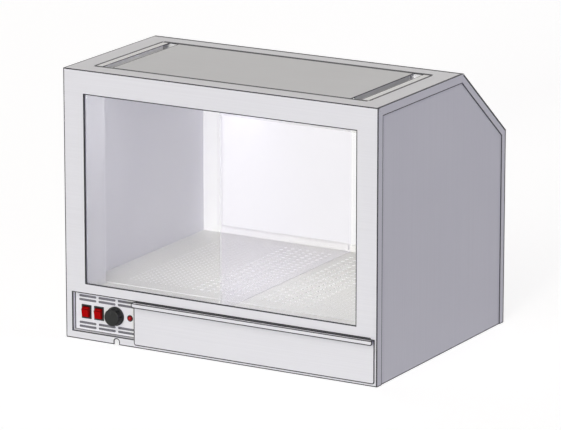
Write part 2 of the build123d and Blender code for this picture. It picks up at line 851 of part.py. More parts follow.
probe_front = bulkhead_back + 4 * sheet
probe_back = probe_front + probe_length
climb = probe_z - control_line
capillary_path = FilletPolyline(
    (knob_x, body_back, control_line),
    (knob_x, body_back + climb, control_line),
    (knob_x, body_back + 2 * climb, probe_z),
    (knob_x, probe_front, probe_z),
    radius=climb / 2,
)
capillary_section = Plane((knob_x, body_back, control_line), z_dir=(0, 1, 0)) * Circle(capillary_radius)
probe = sweep(capillary_section, path=capillary_path)
probe += rod_y(probe_radius, knob_x, probe_front, probe_back, probe_z)
parts["thermostat_probe"] = probe

# Pilot lamp: dark body through the panel and a domed red lens
pilot_front = panel_setback - sheet
lens_seat = panel_back + sheet
pilot_body = rod_y(pilot_radius, pilot_x, pilot_front, panel_setback, control_line)
pilot_body += rod_y(pilot_shank_radius, pilot_x, panel_setback, panel_setback + pilot_depth, control_line)
pilot_body -= rod_y(pilot_lens_radius + hole_gap, pilot_x, pilot_front - sheet, lens_seat, control_line)
parts["pilot_body"] = pilot_body
dome = Pos(pilot_x, pilot_front, control_line) * Sphere(pilot_lens_radius)
dome &= block(
    pilot_x - pilot_radius,
    pilot_x + pilot_radius,
    pilot_front - pilot_lens_radius,
    pilot_front,
    control_line - pilot_radius,
    control_line + pilot_radius,
)
parts["pilot_lens"] = dome + rod_y(pilot_lens_radius, pilot_x, pilot_front, lens_seat, control_line)

# Mains entry: terminal block on the base plate and a gland above the cable notch
terminal_x = bay_middle
terminal_y = (body_back + fan_front) / 2
terminal = block(
    terminal_x - terminal_length / 2,
    terminal_x + terminal_length / 2,
    terminal_y - terminal_width / 2,
    terminal_y + terminal_width / 2,
    base_top,
    base_top + terminal_height,
)
pole_pitch = terminal_length / terminal_poles
for pole in range(terminal_poles):
    pole_x = terminal_x + (pole - (terminal_poles - 1) / 2) * pole_pitch
    terminal -= rod_z(
        pole_pitch / 4, pole_x, terminal_y, base_top + terminal_height / 2, base_top + 2 * terminal_height
    )
parts["terminal_block"] = terminal
gland = rod_z(gland_radius, notch_x, gland_setback, base_top, base_top + 4 * sheet)
gland += rod_z(gland_radius, notch_x, gland_setback, base_top - sheet - gland_radius, base_top - sheet)
gland += rod_z(gland_thread_radius, notch_x, gland_setback, base_top - 2 * sheet, base_top + 6 * sheet)
gland -= rod_z(gland_bore_radius, notch_x, gland_setback, 0, 2 * base_top)
parts["cable_gland"] = gland

# Drawer: open tray on two runners, overlay front with a folded lip to pull it by
tray_left = partition_x + sheet + tray_side_gap
tray_right = cutout_half - tray_side_gap
tray_bottom = base_top + tray_lift
tray = block(tray_left, tray_right, -drawer_gap, tray_depth, tray_bottom, tray_top)
tray -= block(
    tray_left + sheet,
    tray_right - sheet,
    sheet - drawer_gap,
    tray_depth - sheet,
    tray_bottom + sheet,
    2 * tray_top,
)
parts["drawer_tray"] = tray
drawer_left = partition_x + drawer_gap
drawer_right = half_width - drawer_right_margin
drawer_top = cutout_top - touch_gap
face_front = -drawer_gap - sheet
drawer_face = block(drawer_left, drawer_right, face_front, -drawer_gap, drawer_bottom, drawer_top)
drawer_face = fillet(drawer_face.edges().filter_by(Axis.Y).group_by(Axis.Z)[0], drawer_corner)
hem = block(drawer_left, drawer_right, -lip_reach, -lip_reach + sheet, drawer_top - lip_drop, drawer_top)
hem = fillet(hem.edges().filter_by(Axis.Y).group_by(Axis.Z)[0], drawer_corner)
lip = block(drawer_left, drawer_right, -lip_reach, -drawer_gap, drawer_top - sheet, drawer_top)
parts["drawer_front"] = drawer_face + lip + hem
runner_back = runner_front + runner_length
guide_gap = tray_side_gap - touch_gap


def runner(outside, inside, wall):
    """Slide strip under one edge of the tray, with a guide beside it."""
    strip_x0, strip_x1 = sorted((outside, inside))
    wall_x0, wall_x1 = sorted((outside, wall))
    shape = block(strip_x0, strip_x1, runner_front, runner_back, base_top, tray_bottom - touch_gap)
    return shape + block(wall_x0, wall_x1, runner_front, runner_back, base_top, base_top + runner_guide)


left_runner = runner(tray_left - guide_gap, tray_left + runner_width, tray_left - touch_gap)
right_runner = runner(tray_right + guide_gap, tray_right - runner_width, tray_right + touch_gap)
parts["drawer_runners"] = left_runner + right_runner

# Rear panes on both sides of the divider, each between a lower and an upper rail
pane_back = inside_back - touch_gap
pane_front = pane_back - rear_pane
rear_pane_bottom = sill_height - glass_lap
rear_pane_top = rear_height - post_width + glass_lap
right_pane = block(
    divider_half + touch_gap, pane_half, pane_front, pane_back, rear_pane_bottom, rear_pane_top
)
parts["right_rear_pane"] = right_pane
parts["left_rear_pane"] = mirror(right_pane, about=Plane.YZ)
stand_back = pane_front - touch_gap
stand_front = stand_back - sheet
pane_rails = Part()
for shelf_z, stand_z in (
    (rear_pane_bottom - touch_gap - sheet, rear_pane_bottom - touch_gap + pane_rail),
    (rear_pane_top + touch_gap + sheet, rear_pane_top + touch_gap - pane_rail),
):
    shelf_end = shelf_z + sheet if stand_z > shelf_z else shelf_z - sheet
    shelf_low, shelf_high = sorted((shelf_z, shelf_end))
    stand_low, stand_high = sorted((shelf_z, stand_z))
    rail = block(divider_half + touch_gap, pane_half, stand_front, inside_back, shelf_low, shelf_high)
    rail += block(divider_half + touch_gap, pane_half, stand_front, stand_back, stand_low, stand_high)
    pane_rails += both_sides(rail)
parts["rear_pane_rails"] = pane_rails

# Serving flap over the hatch in the slope: clear pane, pull, two hinges with their pins
flap_under = touch_gap
flap_upper = flap_under + flap_sheet
flap_half = window_half + flap_side_lap
flap_end = slope_length - post_width + flap_lap
parts["flap_pane"] = slope * block(-flap_half, flap_half, flap_setback, flap_end, flap_under, flap_upper)
pull = block(
    -pull_width / 2, pull_width / 2, flap_end - pull_foot, flap_end, flap_upper, flap_upper + leaf_thickness
)
pull += block(
    -pull_width / 2,
    pull_width / 2,
    flap_end - leaf_thickness,
    flap_end,
    flap_upper,
    flap_upper + pull_height,
)
parts["flap_pull"] = slope * pull
hinge_bases = Part()
hinge_leaves = Part()
hinge_pins = Part()
middle_half = knuckle_length / 2
hinge_half = middle_half + touch_gap + knuckle_length
knuckle_clear = hinge_setback - knuckle_radius - touch_gap
leaf_top = flap_upper + leaf_thickness
for hinge_x in (-hinge_offset, hinge_offset):
    base_leaf = block(
        hinge_x - hinge_half,
        hinge_x + hinge_half,
        hinge_setback - leaf_length,
        knuckle_clear,
        0,
        leaf_thickness,
    )
    for end_x in (hinge_x - hinge_half, hinge_x + middle_half + touch_gap):
        base_leaf += block(
            end_x, end_x + knuckle_length, knuckle_clear - sheet, hinge_setback, 0, hinge_height
        )
        base_leaf += rod_x(knuckle_radius, end_x, end_x + knuckle_length, hinge_setback, hinge_height)
    bore = hinge_pin_radius + running_gap
    base_leaf -= rod_x(
        bore, hinge_x - 2 * hinge_half, hinge_x + 2 * hinge_half, hinge_setback, hinge_height
    )
    hinge_bases += base_leaf
    leaf = block(
        hinge_x - hinge_half,
        hinge_x + hinge_half,
        hinge_setback + knuckle_radius + touch_gap,
        hinge_setback + knuckle_radius + leaf_length,
        flap_upper,
        leaf_top,
    )
    leaf += block(
        hinge_x - middle_half,
        hinge_x + middle_half,
        hinge_setback,
        hinge_setback + knuckle_radius + sheet,
        flap_upper,
        leaf_top,
    )
    leaf += rod_x(knuckle_radius, hinge_x - middle_half, hinge_x + middle_half, hinge_setback, hinge_height)
    leaf -= rod_x(bore, hinge_x - hinge_half, hinge_x + hinge_half, hinge_setback, hinge_height)
    hinge_leaves += leaf
    pin = rod_x(hinge_pin_radius, hinge_x - hinge_half, hinge_x + hinge_half, hinge_setback, hinge_height)
    for head_x in (hinge_x - hinge_half - sheet, hinge_x + hinge_half):
        pin += rod_x(hinge_pin_radius + sheet / 2, head_x, head_x + sheet, hinge_setback, hinge_height)
    hinge_pins += pin
parts["flap_hinge_bases"] = slope * hinge_bases
parts["flap_hinge_leaves"] = slope * hinge_leaves
parts["flap_hinge_pins"] = slope * hinge_pins

# Every piece is written in the frame of the finished object
os.makedirs("parts", exist_ok=True)
for name, shape in parts.items():
    export_step(Pos(0, -origin_y, 0) * shape, f"parts/{name}.step")
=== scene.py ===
import json
import math

import bmesh
import bpy
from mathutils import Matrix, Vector

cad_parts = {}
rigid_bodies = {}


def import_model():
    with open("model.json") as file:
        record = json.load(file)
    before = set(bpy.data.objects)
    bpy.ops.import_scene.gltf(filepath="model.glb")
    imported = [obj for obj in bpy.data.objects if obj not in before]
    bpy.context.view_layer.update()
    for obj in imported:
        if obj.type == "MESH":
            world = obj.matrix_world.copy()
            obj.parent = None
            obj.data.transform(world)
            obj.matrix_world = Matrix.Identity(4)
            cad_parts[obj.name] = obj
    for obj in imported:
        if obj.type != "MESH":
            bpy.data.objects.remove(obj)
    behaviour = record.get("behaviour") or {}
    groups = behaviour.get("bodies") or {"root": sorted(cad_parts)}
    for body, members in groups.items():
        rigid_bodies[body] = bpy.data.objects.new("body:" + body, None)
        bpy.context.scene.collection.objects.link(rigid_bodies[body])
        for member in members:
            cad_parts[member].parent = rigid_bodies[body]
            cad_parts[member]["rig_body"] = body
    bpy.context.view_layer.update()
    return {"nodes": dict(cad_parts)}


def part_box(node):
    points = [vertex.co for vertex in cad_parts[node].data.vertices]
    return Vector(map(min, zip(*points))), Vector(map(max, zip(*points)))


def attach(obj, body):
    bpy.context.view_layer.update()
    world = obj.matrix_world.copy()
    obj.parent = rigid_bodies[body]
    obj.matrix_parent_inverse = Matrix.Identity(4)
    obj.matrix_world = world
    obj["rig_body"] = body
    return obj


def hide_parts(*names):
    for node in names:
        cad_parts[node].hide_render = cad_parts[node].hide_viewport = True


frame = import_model()

# Side panels: plain sheets of satin stainless steel that stand behind the folded border of the shell.
# They are laser cut, their lower edge is folded inwards to stand on, and spot welds hold them to the border.


def linear(shade):
    """Linear colour of an sRGB hex value."""
    parts = [int(shade[place:place + 2], 16) / 255 for place in (1, 3, 5)]
    curve = [part / 12.92 if part <= 0.04045 else ((part + 0.055) / 1.055) ** 2.4 for part in parts]
    return (*curve, 1.0)


def add(tree, kind, settings=None, links=None):
    """One shader node with its settings and the links that come into it."""
    node = tree.nodes.new(kind)
    for name, value in (settings or {}).items():
        if isinstance(name, int) or name in node.inputs:
            node.inputs[name].default_value = value
        else:
            setattr(node, name, value)
    for name, source in (links or {}).items():
        tree.links.new(source, node.inputs[name])
    return node


def set_surface(finish, settings):
    """Sets the constants of a finish's surface."""
    surface = finish.node_tree.nodes["Principled BSDF"]
    for name, value in settings.items():
        surface.inputs[name].default_value = value


def satin_stainless(name, grain_axis, dull, bright):
    """304 stainless sheet, belt polished along one axis: soft long streaks, and smears left by wiping.

    It is so matt that each face takes one even tone from the light. The real polishing lines are a tenth of a
    millimetre wide. They are drawn 2 mm wide so that they show.
    """
    finish = bpy.data.materials.new(name)
    finish.use_nodes = True
    tree = finish.node_tree
    steel = tree.nodes["Principled BSDF"]
    steel.inputs["Metallic"].default_value = 0.2
    place = add(tree, "ShaderNodeTexCoord")
    line_width = [0.002, 0.002, 0.002]
    line_width[grain_axis] = 0.35
    smear_width = 0.11
    stretch = add(
        tree,
        "ShaderNodeMapping",
        {"Scale": [1 / width for width in line_width]},
        {"Vector": place.outputs["Object"]},
    )
    lines = add(
        tree,
        "ShaderNodeTexNoise",
        {"Scale": 1.0, "Detail": 3.0, "Roughness": 0.6},
        {"Vector": stretch.outputs["Vector"]},
    )
    smears = add(
        tree,
        "ShaderNodeTexNoise",
        {"Scale": 1 / smear_width, "Detail": 4.0, "Roughness": 0.55, "Distortion": 0.6},
        {"Vector": place.outputs["Object"]},
    )
    colour = add(
        tree,
        "ShaderNodeMix",
        {"data_type": "RGBA", 6: linear(dull), 7: linear(bright)},
        {0: lines.outputs["Fac"]},
    )
    rough = add(
        tree,
        "ShaderNodeMapRange",
        {"From Min": 0.3, "From Max": 0.7, "To Min": 0.46, "To Max": 0.54},
        {"Value": smears.outputs["Fac"]},
    )
    relief = add(
        tree,
        "ShaderNodeBump",
        {"Strength": 0.06, "Distance": 0.0003},
        {"Height": lines.outputs["Fac"]},
    )
    tree.links.new(colour.outputs[2], steel.inputs["Base Color"])
    tree.links.new(rough.outputs["Result"], steel.inputs["Roughness"])
    tree.links.new(relief.outputs["Normal"], steel.inputs["Normal"])
    return finish


def cut_steel(name, dull, bright):
    """Bare worked steel: a narrow band with fine striations from the cut or the bend, duller than the sheet.

    The real striations are 0.2 mm apart. They are drawn 1.5 mm apart so that they show.
    """
    finish = bpy.data.materials.new(name)
    finish.use_nodes = True
    tree = finish.node_tree
    steel = tree.nodes["Principled BSDF"]
    steel.inputs["Metallic"].default_value = 0.2
    place = add(tree, "ShaderNodeTexCoord")
    ridge_spacing = 0.0015
    ridges = add(
        tree,
        "ShaderNodeTexNoise",
        {"Scale": 1 / ridge_spacing, "Detail": 1.0},
        {"Vector": place.outputs["Object"]},
    )
    colour = add(
        tree,
        "ShaderNodeMix",
        {"data_type": "RGBA", 6: linear(dull), 7: linear(bright)},
        {0: ridges.outputs["Fac"]},
    )
    rough = add(
        tree,
        "ShaderNodeMapRange",
        {"To Min": 0.45, "To Max": 0.65},
        {"Value": ridges.outputs["Fac"]},
    )
    tree.links.new(colour.outputs[2], steel.inputs["Base Color"])
    tree.links.new(rough.outputs["Result"], steel.inputs["Roughness"])
    return finish


steel_along_x = satin_stainless("satin_stainless_grain_x", 0, "#DADADC", "#E4E4E6")
steel_along_y = satin_stainless("satin_stainless_grain_y", 1, "#DADADC", "#E4E4E6")
steel_upright = satin_stainless("satin_stainless_grain_z", 2, "#DADADC", "#E4E4E6")
# A laser cut leaves a dark oxide on the edge and a dark burr line beside it. A bend dulls the polish.
laser_cut_edge = cut_steel("laser_cut_stainless_edge", "#1E1E22", "#36363B")
bend_line = cut_steel("stainless_bend_line", "#26262A", "#3E3E44")


def made_piece(name, skin, body, slot, finishes, *replaced):
    """Turns a finished mesh into a piece on its body."""
    mesh = bpy.data.meshes.new(name)
    skin.to_mesh(mesh)
    skin.free()
    for finish in finishes:
        mesh.materials.append(finish)
    piece = bpy.data.objects.new(name, mesh)
    bpy.context.scene.collection.objects.link(piece)
    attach(piece, body)
    for node in replaced:
        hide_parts(node)
    return piece


def joined_skin(node):
    """A copy of a solid's skin with its loose triangles joined."""
    weld_distance = 0.000002
    skin = bmesh.new()
    skin.from_mesh(frame["nodes"][node].data)
    bmesh.ops.remove_doubles(skin, verts=skin.verts, dist=weld_distance)
    return skin


sharp = math.radians(40)


def mark_cuts_and_bends(skin, cut, bend, narrow, turned):
    """Gives narrow faces the finish of a cut, or of a bend where they are long and their edges soft."""
    flat_angle = math.radians(1)
    shortest_bend = 0.02
    for face in skin.faces:
        face.smooth = turned and len(face.verts) < 5
        around = sum(edge.calc_length() for edge in face.edges)
        level = any(edge.is_manifold and edge.calc_face_angle() < flat_angle for edge in face.edges)
        if level or 2 * face.calc_area() / around > narrow:
            continue
        longest = max(face.edges, key=lambda edge: edge.calc_length())
        soft = longest.is_manifold and longest.calc_face_angle() < sharp
        face.smooth = face.smooth or soft
        face.material_index = bend if soft and longest.calc_length() > shortest_bend else cut


def is_seam(edge):
    """Whether an edge is short and slanting, as a seam across a side border is."""
    longest_seam = 0.04
    run = edge.verts[0].co - edge.verts[1].co
    return run.length < longest_seam and min(abs(run.y), abs(run.z)) > 0.2 * run.length


def break_edges(skin, soften, cut, welded):
    """Rounds the sharp edges, other than welded seams, and gives the rounds the finish of a cut."""
    corners = [
        edge
        for edge in skin.edges
        if edge.is_manifold and edge.calc_face_angle() > sharp and not (welded and is_seam(edge))
    ]
    rounds = bmesh.ops.bevel(
        skin,
        geom=corners,
        offset=soften,
        offset_type="OFFSET",
        affect="EDGES",
        segments=2,
        profile=0.5,
        material=-1,
        clamp_overlap=True,
    )
    for face in rounds["faces"]:
        face.material_index = cut
        face.smooth = True
    sliver = 0.00001
    bmesh.ops.dissolve_degenerate(skin, dist=sliver, edges=skin.edges)
    skin.normal_update()


def burr_lines(skin, line, cut, bend, shortest, welded, front):
    """The lines beside cuts and bends: finish, start, direction, length, width and the face's normal.

    A line is drawn wider on the sides and the top, which are seen at a slant. An edge that two faces
    share has it on one of them.
    """
    front_seam = front + 0.004
    burrs = []
    for corner in (corner for face in skin.faces if face.material_index == 0 for corner in face.loops):
        beyond = corner.link_loop_radial_next.face.material_index
        length = corner.edge.calc_length()
        if beyond not in (cut, bend) or length <= shortest or welded and is_seam(corner.edge):
            continue
        first = corner.vert.co.copy()
        along = (corner.link_loop_next.vert.co - first) / length
        normal = corner.face.normal.copy()
        depth = normal.cross(along).y
        if beyond == bend and abs(normal.x) > 0.9 and depth > -0.1:
            continue
        if beyond == cut and normal.z > 0.9 and depth > 0.9 and first.y < front_seam:
            continue
        lying = (1.0 + 2.4 * abs(along.x)) * abs(normal.z)
        width = line * (1.0 + lying if beyond == cut else 0.8 + 0.8 * lying + 1.2 * abs(normal.x))
        burrs.append((beyond, first, along, length, width, normal))
    return burrs


def draw_burrs(skin, burrs, line):
    """Cuts each burr line into its face and gives it its finish."""

    def beside(face, first, normal):
        """Whether a plain face lies in the plane of a burr line."""
        level = abs((face.verts[0].co - first).dot(normal)) < 0.00001
        return level and face.material_index == 0 and face.normal.dot(normal) > 0.9999

    for _, first, along, _, width, normal in burrs:
        inward = normal.cross(along)
        for border in (first, first + width * inward):
            flat = [face for face in skin.faces if beside(face, first, normal)]
            rims = list(dict.fromkeys(edge for face in flat for edge in face.edges))
            points = list(dict.fromkeys(vert for face in flat for vert in face.verts))
            bmesh.ops.bisect_plane(
                skin, geom=flat + rims + points, dist=0.000001, plane_co=border, plane_no=inward
            )
            skin.normal_update()
    for finish, first, along, length, width, normal in sorted(burrs, key=lambda burr: burr[0]):
        inward = normal.cross(along)
        for face in skin.faces:
            if beside(face, first, normal):
                way = face.calc_center_median() - first
                if 0 < way.dot(inward) < width and -line < way.dot(along) < length + line:
                    face.material_index = finish


def skin_piece(node, slot, finishes, soften, line=0.0, narrow=0.0018, turned=False, shortest=0.0):
    """A solid's own skin, joined up, with its sharp edges broken.

    The second finish goes on narrow cut faces and on a burr line beside sharp edges, the third on bends.
    Short seams across the side borders are welded and polished, so they get no line, nor do edges under
    the shortest length. A turned piece is smooth all round.
    """
    skin = joined_skin(node)
    bmesh.ops.dissolve_limit(skin, angle_limit=math.radians(0.5), verts=skin.verts, edges=skin.edges)
    cut = min(1, len(finishes) - 1)
    bend = min(2, len(finishes) - 1)
    welded = len(finishes) > 2
    mark_cuts_and_bends(skin, cut, bend, narrow, turned)
    break_edges(skin, soften, cut, welded)
    if line:
        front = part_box(node)[0][1]
        draw_burrs(skin, burr_lines(skin, line, cut, bend, shortest, welded, front), line)
    return made_piece(node + "_made", skin, frame["nodes"][node]["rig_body"], slot, finishes, node)


sheet_edge = 0.0003
burr_width = 0.002
for panel in ("left_side_panel", "right_side_panel"):
    side_finishes = [steel_upright, laser_cut_edge, bend_line]
    side = skin_piece(panel, "stainless_steel", side_finishes, sheet_edge, burr_width)
    # The inner faces are polished out to the edge.
    for face in side.data.polygons:
        if face.center.x * face.normal.x < 0:
            face.material_index = 0

# Base plate, bay partition, chute and rails: inner sheet work of the same stainless steel.
# It is folded, laid in from below and spot welded to the side panels, and is seen only in part.


def paint(finish, *nodes):
    """Gives solids that keep their own shape one finish."""
    for node in nodes:
        slots = frame["nodes"][node].data.materials
        slots.clear()
        slots.append(finish)


paint(steel_along_x, "base_plate", "kernel_chute")
paint(steel_along_y, "bay_partition", "floor_rails")

# Floor: two perforated trays of bright stainless sheet, the ledge in front of them and the beam between them.
# The trays are punched with large holes for unpopped kernels to fall through, and fine ones for warm air.
# They lie loose on the ledge, the rails and the beam.


def burnished_steel_painted_glow(name, painted_glow):
    """Steel that the punch has pressed smooth, a little paler than the sheet, on the wall and the rim of a
    hole.

    Its near-white colour is partly painted light, and its glow is painted light, so that the holes show
    bright.
    """
    finish = cut_steel(name, "#F8F8F8", "#FFFFFF")
    set_surface(finish, {"Metallic": 0.0, "Emission Color": linear("#FFFFFF"), "Emission Strength": painted_glow})
    return finish


# The hole finishes glow with painted light, so that the holes show bright.
tray_finishes = [
    satin_stainless("bright_tray_stainless_and_painted_light", 1, "#E8E8E4", "#F2F2EE"),
    burnished_steel_painted_glow("burnished_kernel_hole_painted_glow", 0.38),
    burnished_steel_painted_glow("burnished_air_hole_painted_glow", 0.12),
]
kernel_finish = 1
air_finish = 2
rim_width = 0.0004
outline_width = 0.001
air_holes_start = 0.157
for tray in ("left_floor_tray", "right_floor_tray"):
    sheet = joined_skin(tray)
    upper = [face for face in sheet.faces if face.normal.z > 0.9]
    walls = [face for face in sheet.faces if abs(face.normal.z) < 0.5]
    rims = bmesh.ops.inset_region(
        sheet, faces=upper, thickness=rim_width, use_boundary=True, use_even_offset=True
    )
    low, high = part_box(tray)
    for face in walls + rims["faces"]:
        middle = face.calc_center_median()
        to_sides = min(middle.x - low[0], high[0] - middle.x)
        to_ends = min(middle.y - low[1], high[1] - middle.y)
        is_outline = min(to_sides, to_ends) < outline_width
        is_air_hole = abs(middle.x) > air_holes_start
        face.material_index = air_finish if is_outline or is_air_hole else kernel_finish
    made_piece(tray + "_made", sheet, "cabinet", "stainless_steel", tray_finishes, tray)
# The beam gets the pale tray steel as painted light, which lifts the shade in the gap beside the divider.
paint(tray_finishes[0], "front_ledge", "floor_beam")

# Shell: front, rear and top panels, each cut from one stainless sheet and folded round the sides as a border.
# The front has the window, the long cut-out for controls and drawer, and the cable notch.
sheet_finishes = [steel_along_x, laser_cut_edge, bend_line]
for panel in ("front_panel", "top_panel"):
    skin_piece(panel, "stainless_steel", sheet_finishes, sheet_edge, burr_width)
# The rear panel is drawn in paler sheet, painted light that brightens its frame as seen in the chamber. It is
# deburred round its openings, so only its border has dark edges.
pale_steel_and_painted_light = satin_stainless("pale_rolled_stainless_and_painted_light", 1, "#F2F2F0", "#FCFCFA")
set_surface(pale_steel_and_painted_light, {"Metallic": 0.05})
rear_finishes = sheet_finishes + [pale_steel_and_painted_light]
rear_shell = skin_piece("rear_panel", "stainless_steel", rear_finishes, sheet_edge, burr_width)
border_start = 0.392
border_inside = 0.398
# The middle of the rear panel gets the paler steel, as painted light.
for face in rear_shell.data.polygons:
    reach = abs(face.center.x)
    if reach < border_start or face.normal.y < -0.1 and reach < border_inside:
        face.material_index = 3

# Columns, ceiling channel, glass retainer and rear pane rails: folded stainless sections inside the chamber.
# The columns close the space behind the front posts, the others hold the glass and the clear panes.
# Their edges carry a pale line, a painted highlight.
column_edge_painted_highlight = cut_steel("stainless_edge_painted_highlight", "#F0F0F2", "#FAFAFC")
fine_burr = 0.001
for section in ("left_column", "right_column"):
    column_finishes = [steel_upright, column_edge_painted_highlight]
    skin_piece(section, "stainless_steel", column_finishes, sheet_edge, fine_burr, shortest=0.06)
paint(steel_along_x, "glass_retainer")
# The rear pane rails get the paler steel as painted light in the shade behind the panes.
paint(pale_steel_and_painted_light, "rear_pane_rails")
paint(steel_along_y, "ceiling_channel")

# Window seal: a black strip of EPDM rubber round the window, between the front panel and the glass.
# It is extruded and glued in, and only its inner edge shows.


def moulded(name, dark, light, grit, rough_low, rough_high, height):
    """A moulded or painted skin with a fine even texture of one grit size."""
    finish = bpy.data.materials.new(name)
    finish.use_nodes = True
    tree = finish.node_tree
    place = add(tree, "ShaderNodeTexCoord")
    pits = add(
        tree,
        "ShaderNodeTexNoise",
        {"Scale": 1 / grit, "Detail": 3.0, "Roughness": 0.6},
        {"Vector": place.outputs["Object"]},
    )
    clouds = add(
        tree,
        "ShaderNodeTexNoise",
        {"Scale": 1 / (25 * grit), "Detail": 2.0},
        {"Vector": place.outputs["Object"]},
    )
    colour = add(
        tree,
        "ShaderNodeMix",
        {"data_type": "RGBA", 6: linear(dark), 7: linear(light)},
        {0: clouds.outputs["Fac"]},
    )
    rough = add(
        tree,
        "ShaderNodeMapRange",
        {"From Min": 0.3, "From Max": 0.7, "To Min": rough_low, "To Max": rough_high},
        {"Value": clouds.outputs["Fac"]},
    )
    relief = add(
        tree,
        "ShaderNodeBump",
        {"Strength": 0.25, "Distance": height},
        {"Height": pits.outputs["Fac"]},
    )
    skin = tree.nodes["Principled BSDF"]
    tree.links.new(colour.outputs[2], skin.inputs["Base Color"])
    tree.links.new(rough.outputs["Result"], skin.inputs["Roughness"])
    tree.links.new(relief.outputs["Normal"], skin.inputs["Normal"])
    return finish


# Extruded EPDM is dull, with a faint bloom that greys it in patches.
seal_rubber = moulded("epdm_rubber", "#161616", "#242424", 0.0012, 0.6, 0.8, 0.0001)
paint(seal_rubber, "window_seal")

# Front glass: one pane of toughened float glass, 5 mm, behind the window.
# Its edges are ground all round, and the retainer holds it against the seal.


def clear_sheet(name, shade, veil, rough_low, rough_high):
    """A clear pane: it lets most of the view through, under a thin pale veil, and carries faint smears."""
    finish = bpy.data.materials.new(name)
    finish.use_nodes = True
    tree = finish.node_tree
    pane = tree.nodes["Principled BSDF"]
    pane.inputs["Alpha"].default_value = veil
    place = add(tree, "ShaderNodeTexCoord")
    smear_width = 0.09
    smears = add(
        tree,
        "ShaderNodeTexNoise",
        {"Scale": 1 / smear_width, "Detail": 3.0, "Distortion": 0.8},
        {"Vector": place.outputs["Object"]},
    )
    pale = linear(shade)
    paler = [min(1.0, 1.03 * share) for share in pale[:3]]
    colour = add(
        tree,
        "ShaderNodeMix",
        {"data_type": "RGBA", 6: pale, 7: (*paler, 1.0)},
        {0: smears.outputs["Fac"]},
    )
    rough = add(
        tree,
        "ShaderNodeMapRange",
        {"From Min": 0.3, "From Max": 0.7, "To Min": rough_low, "To Max": rough_high},
        {"Value": smears.outputs["Fac"]},
    )
    tree.links.new(colour.outputs[2], pane.inputs["Base Color"])
    tree.links.new(rough.outputs["Result"], pane.inputs["Roughness"])
    return finish


# Float glass is clear, with a thin white film from steam and salt. Its ground edge is a dull green.
float_glass = clear_sheet("toughened_float_glass", "#FAFAFA", 0.06, 0.04, 0.1)
set_surface(float_glass, {"IOR": 1.52})
ground_edge = clear_sheet("ground_glass_edge", "#9DB4AC", 0.75, 0.35, 0.5)
widest_edge = 0.006
ground_round = 0.0008
glass_finishes = [float_glass, ground_edge]
skin_piece("front_glass", "toughened_glass", glass_finishes, ground_round, narrow=widest_edge)

# Divider: one clear acrylic sheet, 5 mm, that parts the chamber in two. It stands on the floor beam, its top
# edge is held in the ceiling channel and its edges are flame polished.
# An emission in the sheet paints a pale lavender glow into it.
acrylic = clear_sheet("cast_acrylic_painted_glow", "#E6E0F6", 0.12, 0.05, 0.12)
acrylic_index = 1.49
set_surface(acrylic, {"IOR": acrylic_index, "Emission Color": linear("#E2DAF4"), "Emission Strength": 0.36})
polished_edge = clear_sheet("flame_polished_acrylic_edge", "#FAFAFA", 0.22, 0.1, 0.2)
flame_round = 0.0006
divider_finishes = [acrylic, polished_edge]
divider = skin_piece("divider_pane", "clear_acrylic", divider_finishes, flame_round, narrow=widest_edge)
# The sheet is too clear to cast a shadow. Its rear edge meets the rear panes and is polished clear.
divider.visible_shadow = False
rear_edge_start = 0.25
for face in divider.data.polygons:
    if face.center.y > rear_edge_start:
        face.material_index = 0

# Rear panes: two clear sheets of extruded acrylic, 4 mm, one on each side of the divider.
# They are cut to size and pushed into the rear rails from the side.
# Extruded acrylic is nearly colourless, so what lies behind the case shows through as it is.
clean_acrylic = clear_sheet("extruded_acrylic", "#F6F6FA", 0.02, 0.05, 0.12)
set_surface(clean_acrylic, {"IOR": acrylic_index})
for pane in ("left_rear_pane", "right_rear_pane"):
    skin_piece(pane, "clear_acrylic", [clean_acrylic], flame_round)
# Light and sight pass through the glass, the divider and these panes, there and back.
bpy.context.scene.cycles.transparent_max_bounces = 32

# Top plate, edge strips and rails: stainless sheet laid into the top opening, with two slots for warm air.
# Plate and strips have folded-down edges and rest on angle rails.
# The steel of the plate is a shade darker than the shell, that of the strips lighter.
plate_steel = satin_stainless("satin_stainless_top_plate", 0, "#C8C8C8", "#D2D2D2")
plate_finishes = [plate_steel, laser_cut_edge, bend_line]
skin_piece("top_plate", "stainless_steel", plate_finishes, sheet_edge, fine_burr)
strip_finishes = [pale_steel_and_painted_light, laser_cut_edge, bend_line]
strip_burr = 0.0008
for strip in ("left_vent_strip", "right_vent_strip"):
    skin_piece(strip, "stainless_steel", strip_finishes, sheet_edge, strip_burr)
paint(steel_along_x, "plate_rails")

# Lamp: a white enamelled batten under the top plate, two push-in holders and a fluorescent tube, switched on.
# Stove enamel on steel is white and satin, with a slight orange peel. The same white on the control panel is
# painted light.
white_enamel = moulded("white_stove_enamel_and_painted_light", "#E4E4E6", "#EEEEF0", 0.002, 0.3, 0.42, 0.0002)
paint(white_enamel, "lamp_batten")
# Polycarbonate holders are white and smooth, yellowed a little by the lamp.
white_plastic = moulded("white_polycarbonate", "#D8D5CA", "#E4E2D8", 0.0008, 0.35, 0.5, 0.00005)
paint(white_plastic, "lamp_holders")
# The phosphor under the glass glows an even white from end to end.
tube_phosphor = moulded("lit_phosphor_glass", "#E8EAE9", "#F2F3F2", 0.001, 0.12, 0.2, 0.00003)
set_surface(tube_phosphor, {"Emission Color": linear("#FFFFFF"), "Emission Strength": 19.5})
tube_round = 0.0003
tube = skin_piece("lamp_tube", "lamp_glass", [tube_phosphor], tube_round, turned=True)
# Caps of drawn aluminium, a dull grey with lines along the tube, close both ends of the glass.
tube.data.materials.append(satin_stainless("drawn_aluminium", 0, "#B8BABC", "#CACCCE"))
cap_start = 0.2425
for face in tube.data.polygons:
    if abs(face.center.x) > cap_start:
        face.material_index = 1

